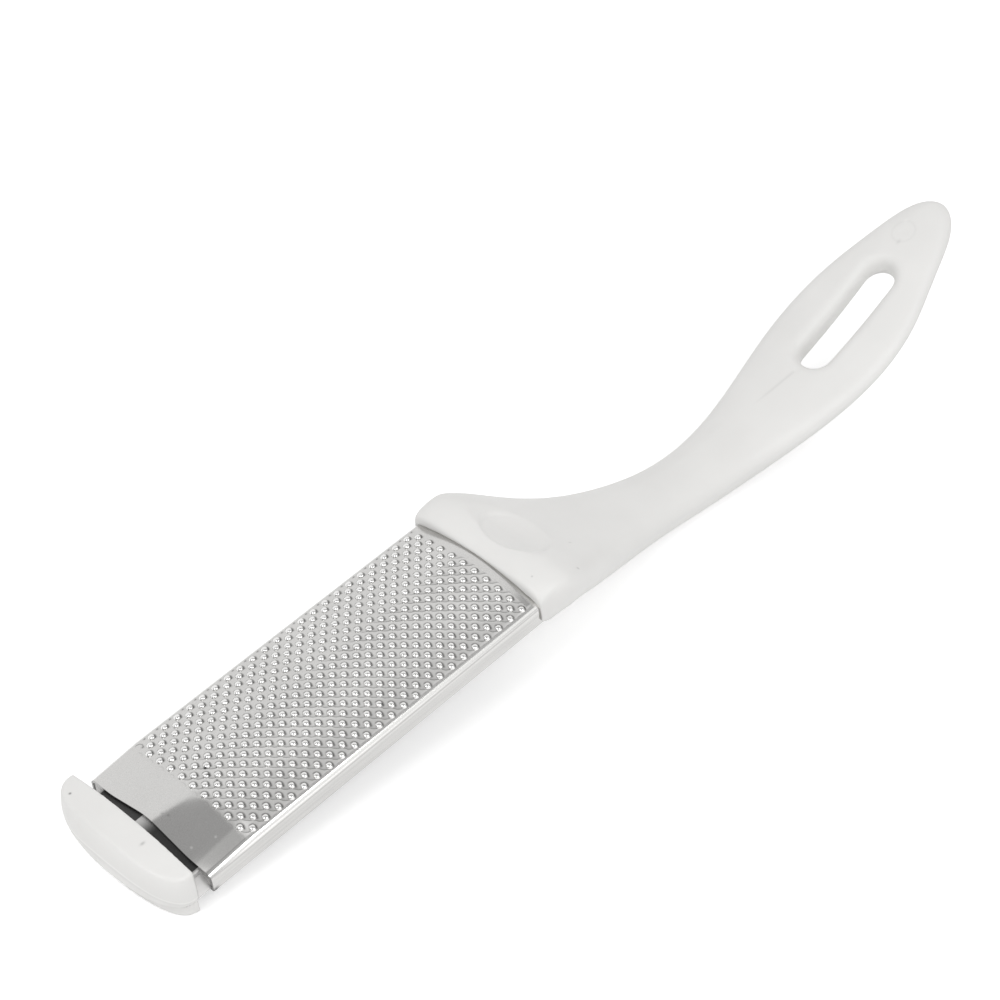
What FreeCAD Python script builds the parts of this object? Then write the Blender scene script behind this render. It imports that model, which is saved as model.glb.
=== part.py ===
import FreeCAD, Part
import math
import os

os.makedirs("parts", exist_ok=True)

V = FreeCAD.Vector

# Everything is drawn in the head's own axes, in millimetres: x = 0 at the mouth of the
# handle's socket and growing towards the hanging loop, z = 0 at the crown of the rasp.
# The finished tool is then tipped to the way it lies on a table.

# Rasp sheet
head_width = 40.0  # over the folded side walls
rasp_exposed = 99.5  # from the front edge to the socket's mouth
sheet_thickness = 0.6
side_height = 8.7  # crown to the underside of the lips
bend_radius = 1.7  # outside of the fold along each long edge
lip_width = 2.0  # in-turned lip that holds the carrier
ridge_radius = 12.0  # the front edge is a shallow roof with a soft ridge
flank_angle = 15.0
flank_margin = 8.5  # from the side wall to where the flank starts to level out
shoulder_angle = 3.0
roof_length = 13.0  # from the front edge, over which the roof rounds out to a plain arch
arch_radius = 70.0
arch_lift = 0.3  # how much higher the arch stands in the middle

# Nubs pressed out of the sheet
nub_pitch = 3.73  # between neighbours in a cross row, and over two rows
nub_side_margin = 2.2  # from the side wall to the outermost nub, at least
last_row_to_socket = 3.6
first_row_to_front = 11.9
nub_base_radius = 1.08
nub_crown_radius = 0.5
nub_height = 0.65
nub_sides = 5
nub_root = 0.25  # how far a nub's foot reaches into the sheet

# Carrier, the folded metal channel inside the rasp sheet
carrier_thickness = 0.8
carrier_clearance = 0.2  # to the rasp sheet on every side
carrier_inset = 4.7  # from the rasp sheet's side to the carrier's fold
carrier_fold = 1.2
cap_gap = 3.8  # bare carrier between the rasp sheet and the end cap
cap_engagement = 3.0  # carrier held inside the end cap

# Handle
socket_depth = 8.0
socket_clearance = 0.2
dimple_distance = 12.0  # thumb rest, from the socket's mouth
dimple_width = 24.0
dimple_depth = 1.1
slot_start = 116.9
slot_length = 32.7
slot_width = 8.4
slot_edge_radius = 3.0  # soft round mouths on both sides
groove_length = 14.0
groove_width = 3.0
groove_depth = 1.0
mould_mark_distance = 158.5
mould_mark_offset = 2.0  # left of the middle
mould_mark_radius = 1.6
mould_mark_depth = 0.15

# One row per cross section of the handle: distance from the socket's mouth, height of
# the centre, half width, half height, squareness of the section.
handle_sections = [
    (0.0, -4.4, 20.6, 5.3, 7.0),
    (0.8, -4.3, 21.2, 5.9, 6.5),
    (2.6, -4.2, 21.7, 6.4, 6.0),
    (8.5, -4.5, 22.1, 6.5, 5.0),
    (14.0, -7.1, 20.6, 6.4, 4.0),
    (26.0, -14.8, 16.2, 6.3, 3.0),
    (44.0, -23.4, 11.3, 5.8, 2.6),
    (66.0, -29.9, 9.1, 5.2, 2.4),
    (88.0, -31.4, 10.6, 5.0, 2.4),
    (108.0, -28.5, 14.4, 4.7, 2.4),
    (127.0, -23.3, 16.8, 4.3, 2.4),
    (146.0, -15.9, 14.2, 4.2, 2.4),
    (160.0, -10.3, 9.6, 4.1, 2.4),
    (168.0, -7.6, 5.7, 3.5, 2.2),
]
section_points = 9  # along each half of a cross section
tip_length = 3.5  # beyond the last cross section

# End cap
cap_corner = 3.0  # how full the corners of its bowed plan are
cap_crown = 4.0  # above the rasp's crown
cap_crown_drop = 1.7  # from the middle to the sides
cap_waist = -7.2  # where the body ends and the lower band begins
cap_edge_radius = 0.9
cap_points = 11
band_inset = 1.3
band_height = 3.6
foot_allowance = 6.0  # spare depth below the band, trimmed level with the table

# One row per level of the end cap's body: height, depth at the middle, half width.
cap_levels = [
    (-7.2, 8.5, 19.9),
    (-3.6, 9.4, 20.2),
    (0.4, 9.1, 20.1),
    (3.0, 8.0, 19.6),
    (4.6, 6.5, 18.8),
]

half_width = head_width / 2.0
crown_half = half_width - bend_radius
flank_end = half_width - flank_margin
carrier_half = half_width - carrier_inset
front_x = -rasp_exposed
cap_back_x = front_x - cap_gap


def crown_points(lower):
    # half of the roof: ridge, flank, hollow and shoulder, each meeting the next;
    # lower is the depth below the outer face, square to it
    steep = math.radians(flank_angle)
    gentle = math.radians(shoulder_angle)
    outer = ridge_radius
    flank_y = outer * math.sin(steep)
    flank_z = outer * (math.cos(steep) - 1.0)
    hollow_z = flank_z - (flank_end - flank_y) * math.tan(steep)
    centre_y = flank_end + ridge_radius * math.sin(steep)
    centre_z = hollow_z + ridge_radius * math.cos(steep)
    level_y = centre_y - ridge_radius * math.sin(gentle)
    level_z = centre_z - ridge_radius * math.cos(gentle)
    edge_z = level_z - (crown_half - level_y) * math.tan(gentle)
    half = (steep + gentle) / 2.0
    return [
        (0.0, -lower),
        (flank_y - lower * math.sin(steep), flank_z - lower * math.cos(steep)),
        (flank_end - lower * math.sin(steep), hollow_z - lower * math.cos(steep)),
        (centre_y - (ridge_radius + lower) * math.sin(half),
         centre_z - (ridge_radius + lower) * math.cos(half)),
        (level_y - lower * math.sin(gentle), level_z - lower * math.cos(gentle)),
        (crown_half, edge_z - lower),
    ]


def arch_height(y, lower=0.0):
    return arch_lift - arch_radius + math.sqrt((arch_radius - lower) ** 2 - y ** 2)


def arch_share(x):
    return min(1.0, max(0.0, (x - front_x) / roof_length))


def sheet_height(x, y):
    share = arch_share(x)
    return share * arch_height(y) + (1.0 - share) * crown_height(y)


def crown_height(y):
    # height of the roof's outer face at a distance y from the middle
    steep = math.radians(flank_angle)
    ridge, flank, hollow, bottom, level, edge = crown_points(0.0)
    away = abs(y)
    if away <= flank[0]:
        return math.sqrt(ridge_radius ** 2 - away ** 2) - ridge_radius
    if away <= hollow[0]:
        return flank[1] - (away - flank[0]) * math.tan(steep)
    if away <= level[0]:
        centre_y = hollow[0] + ridge_radius * math.sin(steep)
        centre_z = hollow[1] + ridge_radius * math.cos(steep)
        return centre_z - math.sqrt(ridge_radius ** 2 - (away - centre_y) ** 2)
    share = (away - level[0]) / (edge[0] - level[0])
    return level[1] + share * (edge[1] - level[1])


def crown_edges(x, reach, lower):
    # the crown from side to side, cut off at the given reach
    ridge, flank, hollow, bottom, level, edge = crown_points(lower)
    last = (reach, crown_height(reach) - lower)
    edges = []
    for side in (1.0, -1.0):
        start, turn, finish = [V(x, side * p[0], p[1]) for p in (hollow, bottom, level)]
        edges.append(line(V(x, side * flank[0], flank[1]), start))
        edges.append(arc(start, turn, finish))
        edges.append(line(finish, V(x, side * last[0], last[1])))
    left, right = [V(x, side * flank[0], flank[1]) for side in (1.0, -1.0)]
    edges.append(arc(left, V(x, 0.0, ridge[1]), right))
    return edges


def arch_edges(x, lower):
    # the arch, parted where the roof's faces meet
    ridge, flank, hollow, bottom, level, edge = crown_points(lower)
    half = [flank[0], hollow[0], level[0], edge[0]]
    steps = [-y for y in reversed(half)] + half
    edges = []
    for first, last in zip(steps[:-1], steps[1:]):
        places = [first, (first + last) / 2.0, last]
        edges.append(arc(*[V(x, y, arch_height(y, lower)) for y in places]))
    return edges


def line(start, end):
    return Part.makeLine(start, end)


def arc(start, middle, end):
    return Part.Arc(start, middle, end).toShape()


def corner(x, side, y_flat, z_flat, radius):
    # quarter round from the crown's edge down to the side wall
    turn = math.sqrt(0.5)
    start = V(x, side * y_flat, z_flat)
    middle = V(x, side * (y_flat + radius * turn), z_flat - radius * (1.0 - turn))
    end = V(x, side * (y_flat + radius), z_flat - radius)
    return arc(start, middle, end)


def chain(points):
    return [line(a, b) for a, b in zip(points[:-1], points[1:])]


def sheet_outline(x, arched):
    edge = arch_height(crown_half) if arched else crown_height(crown_half)
    inner_edge = arch_height(crown_half, sheet_thickness) if arched else edge - sheet_thickness
    inner_wall = half_width - sheet_thickness
    inner_radius = bend_radius - sheet_thickness
    lip_end = half_width - lip_width
    edges = arch_edges(x, 0.0) if arched else crown_edges(x, crown_half, 0.0)
    for side in (1.0, -1.0):
        edges.append(corner(x, side, crown_half, edge, bend_radius))
        edges += chain([
            V(x, side * half_width, edge - bend_radius),
            V(x, side * half_width, -side_height),
            V(x, side * lip_end, -side_height),
            V(x, side * lip_end, sheet_thickness - side_height),
            V(x, side * inner_wall, sheet_thickness - side_height),
            V(x, side * inner_wall, inner_edge - inner_radius),
        ])
        edges.append(corner(x, side, crown_half, inner_edge, inner_radius))
    if arched:
        edges += arch_edges(x, sheet_thickness)
    else:
        edges += crown_edges(x, crown_half, sheet_thickness)
    return Part.Wire(Part.__sortEdges__(edges))


def joined(edges):
    return Part.Face(Part.Wire(Part.__sortEdges__(edges)))


def along(section, start, end):
    return section(start).extrude(V(end - start, 0, 0))


def nub_ring(radius, height):
    points = []
    for number in range(nub_sides):
        angle = 2.0 * math.pi * number / nub_sides
        points.append(V(radius * math.cos(angle), radius * math.sin(angle), height))
    return points + points[:1]


def make_nub():
    flare = (nub_base_radius - nub_crown_radius) / nub_height
    foot = nub_ring(nub_base_radius + flare * nub_root, -nub_root)
    top = nub_ring(nub_crown_radius, nub_height)
    faces = [Part.Face(Part.makePolygon(ring)) for ring in (foot, top)]
    for a, b, c, d in zip(foot[:-1], foot[1:], top[1:], top[:-1]):
        faces.append(Part.Face(Part.makePolygon([a, b, c, d, a])))
    return Part.Solid(Part.Shell(faces))


def nub_places():
    row_pitch = nub_pitch / 2.0
    span = rasp_exposed - last_row_to_socket - first_row_to_front
    rows = int(span / row_pitch) + 1
    stagger = nub_pitch / 4.0
    nubs_per_row = int(2.0 * (half_width - nub_side_margin - stagger) / nub_pitch) + 1
    for row in range(rows):
        x = -last_row_to_socket - row * row_pitch
        shift = stagger if row % 2 else -stagger
        for number in range(nubs_per_row):
            yield x, (number - (nubs_per_row - 1) / 2.0) * nub_pitch + shift


def make_rasp_sheet():
    wires = [sheet_outline(front_x, False), sheet_outline(front_x + roof_length, True),
             sheet_outline(socket_depth, True)]
    sheet = Part.makeLoft(wires, True, True)
    nub = make_nub()
    nubs = []
    step = 0.05
    for x, y in nub_places():
        rise = sheet_height(x, y + step) - sheet_height(x, y - step)
        tilt = FreeCAD.Rotation(V(1, 0, 0), math.degrees(math.atan2(rise, 2.0 * step)))
        copy = nub.copy()
        copy.Placement = FreeCAD.Placement(V(x, y, sheet_height(x, y)), tilt)
        nubs.append(copy)
    return sheet.fuse(nubs)


def carrier_section(x):
    top = sheet_thickness + carrier_clearance
    reach = carrier_half
    edge = crown_height(reach) - top
    foot_y = half_width - sheet_thickness - carrier_clearance
    foot_z = sheet_thickness + carrier_clearance - side_height
    inner = carrier_fold - carrier_thickness
    edges = crown_edges(x, reach, top)
    for side in (1.0, -1.0):
        edges.append(corner(x, side, reach, edge, carrier_fold))
        edges += chain([
            V(x, side * (reach + carrier_fold), edge - carrier_fold),
            V(x, side * foot_y, foot_z),
            V(x, side * (foot_y - carrier_thickness), foot_z),
            V(x, side * (reach + inner), edge - carrier_fold),
        ])
        edges.append(corner(x, side, reach, edge - carrier_thickness, inner))
    return joined(edges + crown_edges(x, reach, top + carrier_thickness))


def make_carrier():
    return along(carrier_section, cap_back_x - cap_engagement, socket_depth)


def socket_section(x):
    # outline of the rasp sheet with the fitting clearance, closed below
    free = socket_clearance
    edge = arch_height(crown_half, -free)
    low = -side_height - free
    wide = half_width + free
    edges = arch_edges(x, -free)
    for side in (1.0, -1.0):
        edges.append(corner(x, side, crown_half, edge, bend_radius + free))
        edges.append(line(V(x, side * wide, edge - bend_radius - free), V(x, side * wide, low)))
    edges.append(line(V(x, -wide, low), V(x, wide, low)))
    return joined(edges)


def squared(value, squareness):
    return math.copysign(abs(value) ** (2.0 / squareness), value)


def handle_section(row):
    # a squared ellipse, drawn as two mirrored halves that meet level at bottom and top
    distance, centre, wide, high, squareness = row
    right = [V(distance, 0, centre - high)]
    for number in range(1, section_points - 1):
        angle = math.pi * (number / (section_points - 1.0) - 0.5)
        across = wide * squared(math.cos(angle), squareness)
        upward = high * squared(math.sin(angle), squareness)
        right.append(V(distance, across, centre + upward))
    right.append(V(distance, 0, centre + high))
    left = [V(point.x, -point.y, point.z) for point in reversed(right)]
    halves = []
    for points, outward in ((right, V(0, 1, 0)), (left, V(0, -1, 0))):
        half = Part.BSplineCurve()
        half.interpolate(Points=points, InitialTangent=outward, FinalTangent=-outward)
        halves.append(half.toShape())
    return Part.Wire(halves)


def make_handle_body():
    distance, centre = handle_sections[-1][:2]
    before, centre_before = handle_sections[-2][:2]
    rise = (centre - centre_before) / (distance - before)
    tip = Part.Vertex(distance + tip_length, 0.0, centre + rise * tip_length)
    wires = [handle_section(row) for row in handle_sections]
    return Part.makeLoft(wires + [tip], True, False)


def handle_top(distance):
    # height of the upper side on the centre line, and its slope
    for low, high in zip(handle_sections[:-1], handle_sections[1:]):
        if low[0] <= distance <= high[0]:
            share = (distance - low[0]) / (high[0] - low[0])
            start, end = low[1] + low[3], high[1] + high[3]
            return start + share * (end - start), (end - start) / (high[0] - low[0])


def surface_frame(distance):
    height, slope = handle_top(distance)
    size = math.hypot(1.0, slope)
    return V(distance, 0, height), V(-slope / size, 0, 1.0 / size)


def make_dimple():
    radius = (dimple_width ** 2 / 4.0 + dimple_depth ** 2) / (2.0 * dimple_depth)
    place, outward = surface_frame(dimple_distance)
    return Part.makeSphere(radius, place + outward * (radius - dimple_depth))


def make_groove():
    radius = (groove_width ** 2 / 4.0 + groove_depth ** 2) / (2.0 * groove_depth)
    start, outward = surface_frame(slot_start - groove_length)
    end = surface_frame(slot_start + radius)[0]
    start = start + outward * radius
    end = end + outward * (radius - groove_depth)
    return Part.makeCylinder(radius, (end - start).Length, start, end - start)


def make_mould_mark():
    place, outward = surface_frame(mould_mark_distance)
    place = place + V(0, mould_mark_offset, 0) - outward * mould_mark_depth
    return Part.makeCylinder(mould_mark_radius, 2.0, place, outward)


def make_socket():
    return along(socket_section, -1.0, socket_depth + socket_clearance)


def make_slot():
    radius = slot_width / 2.0
    first = V(slot_start + radius, 0, 0)
    last = V(slot_start + slot_length - radius, 0, 0)
    tall = 80.0
    ends = [Part.makeCylinder(radius, tall, place - V(0, 0, tall / 2.0)) for place in (first, last)]
    middle = Part.makeBox(last.x - first.x, slot_width, tall, V(first.x, -radius, -tall / 2.0))
    return middle.fuse(ends).removeSplitter()


def is_slot_rim(edge):
    # the slot's mouths run round its outline, while its corners stand upright
    box = edge.BoundBox
    inside = slot_start - 0.1 < box.XMin and box.XMax < slot_start + slot_length + 0.1
    return inside and box.ZLength < 8.0 and box.YMax < slot_width and box.YMin > -slot_width


def make_handle():
    body = make_handle_body().cut(make_slot())
    rims = [edge for edge in body.Edges if is_slot_rim(edge)]
    body = body.makeFillet(slot_edge_radius, rims)
    for cutter in (make_dimple(), make_groove(), make_socket(), make_mould_mark()):
        body = body.cut(cutter)
    return body


def cap_plan(height, deep, wide):
    points = []
    for number in range(cap_points):
        angle = math.pi * number / (cap_points - 1.0)
        reach = deep * math.sin(angle) ** (2.0 / cap_corner) if 0 < number < cap_points - 1 else 0.0
        points.append(V(cap_back_x - reach, wide * math.cos(angle), height))
    bow = Part.BSplineCurve()
    bow.interpolate(points)
    return Part.Wire([bow.toShape(), line(points[-1], points[0])])


def make_cap_body():
    body = Part.makeLoft([cap_plan(*level) for level in cap_levels], True, False)
    wide = cap_levels[-1][2]
    deep = max(level[1] for level in cap_levels)
    crown_radius = (wide ** 2 + cap_crown_drop ** 2) / (2.0 * cap_crown_drop)
    start = V(cap_back_x - deep - 1.0, 0, cap_crown - crown_radius)
    dome = Part.makeCylinder(crown_radius, deep + 2.0, start, V(1, 0, 0))
    body = body.common(dome)
    front = [edge for edge in body.Edges if is_front_rim(edge.BoundBox)]
    return body.makeFillet(cap_edge_radius, front)


def is_front_rim(box):
    # between the crowned top and the bowed front, but not along the cap's back
    return box.ZMin > 0.0 and box.XMin < cap_back_x - 1.0 and box.YLength > 1.0


def make_cap_band():
    height, deep, wide = cap_levels[0]
    plan = Part.Face(cap_plan(height, deep - band_inset, wide - band_inset / 2.0))
    return plan.extrude(V(0, 0, -band_height - foot_allowance))


def make_carrier_pocket():
    # the carrier's outline with the fitting clearance, closed below
    free = carrier_clearance
    wide = half_width - sheet_thickness
    x = cap_back_x - cap_engagement - free
    reach = carrier_half
    edge = crown_height(reach) - sheet_thickness
    low = sheet_thickness - side_height
    edges = crown_edges(x, reach, sheet_thickness)
    for side in (1.0, -1.0):
        edges.append(corner(x, side, reach, edge, carrier_fold + free))
        edges.append(line(V(x, side * (reach + carrier_fold + free), edge - carrier_fold - free),
                          V(x, side * (wide + free), low)))
    edges.append(line(V(x, -wide - free, low), V(x, wide + free, low)))
    return joined(edges).extrude(V(cap_engagement + 2.0 * free, 0, 0))


def make_end_cap():
    cap = make_cap_body().fuse(make_cap_band())
    return cap.cut(make_carrier_pocket())


def lowest(shape, tilt):
    copy = shape.copy()
    copy.rotate(V(0, 0, 0), V(0, 1, 0), -tilt)
    return copy.optimalBoundingBox(False).ZMin


def resting_tilt(handle):
    # the tool lies on the front of the cap's band and on the underside of the neck
    height, deep = cap_levels[0][:2]
    toe = Part.Vertex(cap_back_x - deep + band_inset, 0, height - band_height)
    low, high = 0.0, 15.0
    while high - low > 0.01:
        middle = (low + high) / 2.0
        if lowest(handle, middle) < lowest(toe, middle):
            low = middle
        else:
            high = middle
    return low


def lay_down(shapes):
    tilt = resting_tilt(shapes["handle"])
    for shape in shapes.values():
        shape.rotate(V(0, 0, 0), V(0, 1, 0), -tilt)
    floor = shapes["handle"].optimalBoundingBox(False).ZMin
    boxes = [shape.optimalBoundingBox(False) for shape in shapes.values()]
    middle = (min(box.XMin for box in boxes) + max(box.XMax for box in boxes)) / 2.0
    for shape in shapes.values():
        shape.translate(V(-middle, 0, -floor))
    under = Part.makeBox(1000.0, 1000.0, 100.0, V(-500.0, -500.0, -100.0))
    shapes["end_cap"] = shapes["end_cap"].cut(under)
    print("tilt", round(tilt, 3), "shift", round(-middle, 3), round(-floor, 3))
    return shapes


def main():
    shapes = {
        "handle": make_handle(),
        "rasp_sheet": make_rasp_sheet(),
        "carrier": make_carrier(),
        "end_cap": make_end_cap(),
    }
    for name, shape in lay_down(shapes).items():
        shape.exportStep("parts/" + name + ".step")
        box = shape.BoundBox
        print(name, len(shape.Solids), shape.isValid(), round(shape.Volume / 1000.0, 2), "cm3",
              round(box.XLength, 1), round(box.YLength, 1), round(box.ZLength, 1))


if __name__ == "__main__":
    main()
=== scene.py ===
import math
import bmesh
import bpy
from mathutils import Matrix, Vector


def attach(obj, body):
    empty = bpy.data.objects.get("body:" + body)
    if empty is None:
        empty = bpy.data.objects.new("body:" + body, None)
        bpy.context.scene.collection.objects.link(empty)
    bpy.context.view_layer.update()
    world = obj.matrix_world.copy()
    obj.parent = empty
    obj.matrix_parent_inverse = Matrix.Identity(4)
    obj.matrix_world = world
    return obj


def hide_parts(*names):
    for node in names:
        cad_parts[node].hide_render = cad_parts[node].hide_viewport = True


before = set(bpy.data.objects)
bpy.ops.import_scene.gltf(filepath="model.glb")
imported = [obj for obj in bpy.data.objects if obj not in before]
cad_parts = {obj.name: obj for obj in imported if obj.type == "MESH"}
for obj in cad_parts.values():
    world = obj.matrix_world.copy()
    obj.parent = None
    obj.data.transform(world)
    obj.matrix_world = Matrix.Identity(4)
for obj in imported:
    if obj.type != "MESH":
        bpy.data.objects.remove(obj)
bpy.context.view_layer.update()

print("frame loaded:", sorted(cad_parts))

# How the tool lies: the head's own axes run from the socket's mouth, crown at zero
lie = {"tilt": 7.866, "shiftX": -29.651, "shiftZ": 25.844}  # degrees and millimetres
lieTurn = Matrix.Rotation(math.radians(-lie["tilt"]), 4, "Y")
headToTable = Matrix.Translation((lie["shiftX"], 0, lie["shiftZ"])) @ lieTurn
toMetres = Matrix.Diagonal((0.001, 0.001, 0.001, 1))
headToMetres = toMetres @ headToTable

# Sizes that several pieces share, in the head's millimetres
sheet = {
    "halfWidth": 20.0, "thickness": 0.6, "sideHeight": 8.7, "bendRadius": 1.7, "lipWidth": 2.0,
    "front": -99.5, "socketDepth": 8.0, "archRadius": 70.0, "archLift": 0.3, "roofLength": 13.0,
    "ridgeRadius": 12.0, "flankAngle": 15.0, "flankEnd": 11.5, "shoulderAngle": 3.0,
    "alongStep": 0.36, "acrossStep": 0.30, "edgeRound": 0.35,
    "outerBend": 8, "innerBend": 6, "innerSteps": 12,
}
flatHalf = sheet["halfWidth"] - sheet["bendRadius"]
nubs = {
    "pitch": 3.73, "side": 10, "lastRow": -3.6, "rows": 46, "shiftX": 0.15, "shiftY": -0.20,
    "radius": 0.92, "height": 0.58, "sink": 0.25, "lift": 0.02, "around": 14, "rings": 5,
    "sideCurve": 0.9, "topCurve": 1.15, "probe": 0.05, "spread": 0.06, "seed": 7,
}


def newMesh(name, verts, faces):
    mesh = bpy.data.meshes.new(name)
    mesh.from_pydata(verts, [], faces)
    mesh.validate()
    obj = bpy.data.objects.new(name, mesh)
    bpy.context.scene.collection.objects.link(obj)
    return obj


def setSmooth(obj, sharpAngle=None):
    for poly in obj.data.polygons:
        poly.use_smooth = True
    if sharpAngle is not None:
        obj.data.set_sharp_from_angle(angle=math.radians(sharpAngle))


def outward(obj):
    bm = bmesh.new()
    bm.from_mesh(obj.data)
    bmesh.ops.remove_doubles(bm, verts=bm.verts, dist=1e-7)
    bmesh.ops.recalc_face_normals(bm, faces=bm.faces)
    bm.to_mesh(obj.data)
    bm.free()


def inTableFrame(obj):
    obj.data.transform(headToMetres)
    obj.data.update()


# Shared effects are shader groups
def makeGroup(name, inputs, outputs):
    group = bpy.data.node_groups.new(name, "ShaderNodeTree")
    for kind, label, value in inputs:
        socket = group.interface.new_socket(label, in_out="INPUT", socket_type=kind)
        if value is not None:
            socket.default_value = value
    for kind, label in outputs:
        group.interface.new_socket(label, in_out="OUTPUT", socket_type=kind)
    return group, group.nodes.new("NodeGroupInput"), group.nodes.new("NodeGroupOutput")


def addNode(tree, kind, **values):
    node = tree.nodes.new(kind)
    for key, value in values.items():
        if hasattr(node, key):
            setattr(node, key, value)
        else:
            node.inputs[key].default_value = value
    return node


def mixColour(tree, factor, a, b, blend="MIX"):
    node = tree.nodes.new("ShaderNodeMix")
    node.data_type = "RGBA"
    node.blend_type = blend
    for socket, value in ((node.inputs[0], factor), (node.inputs[6], a), (node.inputs[7], b)):
        if isinstance(value, (int, float, tuple, list)):
            socket.default_value = value
        else:
            tree.links.new(value, socket)
    return node.outputs[2]


def mathNode(tree, operation, a, b=None, c=None):
    node = tree.nodes.new("ShaderNodeMath")
    node.operation = operation
    for socket, value in zip(node.inputs, (a, b, c)):
        if value is None:
            continue
        if isinstance(value, (int, float)):
            socket.default_value = value
        else:
            tree.links.new(value, socket)
    return node.outputs[0]


mottling = {"roughness": 0.55, "low": 0.3, "high": 0.7, "patchSize": 90.0, "grainSize": 1500.0}


def makeMottle():
    # soft uneven tone plus a fine grain, as a mask from 0 to 1
    group, inp, out = makeGroup(
        "mottleAndGrain",
        [("NodeSocketVector", "Position", None), ("NodeSocketFloat", "Patch Size", mottling["patchSize"]),
         ("NodeSocketFloat", "Grain Size", mottling["grainSize"])],
        [("NodeSocketFloat", "Patches"), ("NodeSocketFloat", "Grain")])
    for label, size, detail in (("Patches", "Patch Size", 3.0), ("Grain", "Grain Size", 2.0)):
        noise = addNode(group, "ShaderNodeTexNoise", Detail=detail, Roughness=mottling["roughness"])
        group.links.new(inp.outputs["Position"], noise.inputs["Vector"])
        group.links.new(inp.outputs[size], noise.inputs["Scale"])
        ramp = addNode(group, "ShaderNodeMapRange")
        ramp.inputs["From Min"].default_value = mottling["low"]
        ramp.inputs["From Max"].default_value = mottling["high"]
        group.links.new(noise.outputs["Fac"], ramp.inputs["Value"])
        group.links.new(ramp.outputs["Result"], out.inputs[label])
    return group


mottle = makeMottle()


def placeMottle(tree, patch, grain):
    coords = tree.nodes.new("ShaderNodeTexCoord")
    node = tree.nodes.new("ShaderNodeGroup")
    node.node_tree = mottle
    node.inputs["Patch Size"].default_value = patch
    node.inputs["Grain Size"].default_value = grain
    tree.links.new(coords.outputs["Object"], node.inputs["Position"])
    return node, coords.outputs["Object"]


def addGrain(tree, bsdf, effect, plan):
    # the fine grain moves the roughness a little and gives a faint bump
    grain = effect.outputs["Grain"]
    rough = mathNode(tree, "MULTIPLY_ADD", grain, plan["roughSpread"], plan["roughness"])
    tree.links.new(rough, bsdf.inputs["Roughness"])
    bump = addNode(tree, "ShaderNodeBump", Strength=plan["bump"], Distance=plan["bumpDepth"])
    tree.links.new(grain, bump.inputs["Height"])
    tree.links.new(bump.outputs["Normal"], bsdf.inputs["Normal"])


def newMaterial(name):
    mat = bpy.data.materials.new(name)
    mat.use_nodes = True
    return mat, mat.node_tree, mat.node_tree.nodes["Principled BSDF"]


def headCoords(tree, position):
    # the head's own millimetres, taken from the place on the finished tool
    back = headToTable.inverted()
    turned = tree.nodes.new("ShaderNodeMapping")
    turned.inputs["Scale"].default_value = (1000, 1000, 1000)
    turned.inputs["Rotation"].default_value = back.to_euler()
    turned.inputs["Location"].default_value = back.to_translation()
    tree.links.new(position, turned.inputs["Vector"])
    split = tree.nodes.new("ShaderNodeSeparateXYZ")
    tree.links.new(turned.outputs[0], split.inputs[0])
    return split.outputs[0], split.outputs[1], split.outputs[2]


def stepNode(tree, value, low, high):
    node = addNode(tree, "ShaderNodeMapRange", interpolation_type="SMOOTHSTEP")
    node.inputs["From Min"].default_value = low
    node.inputs["From Max"].default_value = high
    tree.links.new(value, node.inputs["Value"])
    return node.outputs[0]


def product(tree, *values):
    total = values[0]
    for value in values[1:]:
        total = mathNode(tree, "MULTIPLY", total, value)
    return total


def bellNode(tree, value, middle, width):
    # 1 where the value meets the middle, fading over the width
    off = mathNode(tree, "MULTIPLY_ADD", value, 1 / width, -middle / width)
    return mathNode(tree, "EXPONENT", product(tree, off, off, -1.0))


def blobNode(tree, a, b, centre, size):
    # a soft spot: 1 at its centre, fading over its two half sizes
    u = mathNode(tree, "MULTIPLY_ADD", a, 1 / size[0], -centre[0] / size[0])
    v = mathNode(tree, "MULTIPLY_ADD", b, 1 / size[1], -centre[1] / size[1])
    far = mathNode(tree, "MULTIPLY_ADD", v, v, product(tree, u, u))
    return mathNode(tree, "EXPONENT", product(tree, far, -1.0))


def lengthNode(tree, u, v):
    return mathNode(tree, "SQRT", mathNode(tree, "MULTIPLY_ADD", u, u, product(tree, v, v)))


def fadeNode(tree, value, distance):
    # 1 where the value starts, fading over the distance
    return mathNode(tree, "EXPONENT", product(tree, value, -1 / distance))


def darken(tree, tone, mask, amount):
    # tone times one minus amount times mask; a negative amount lightens
    left = mathNode(tree, "MULTIPLY_ADD", mask, -amount, 1.0)
    return left if tone is None else product(tree, tone, left)


def makeWearAndShadeGroup(name, *outputs, grain=False):
    # a group that works in head coordinates, and its parts
    inputs = [("NodeSocketVector", "Position", None)]
    if grain:
        inputs.append(("NodeSocketFloat", "Grain", 0.5))
    group, inp, out = makeGroup(name, inputs, [("NodeSocketFloat", label) for label in outputs])
    return group, inp, out, headCoords(group, inp.outputs["Position"])


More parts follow.
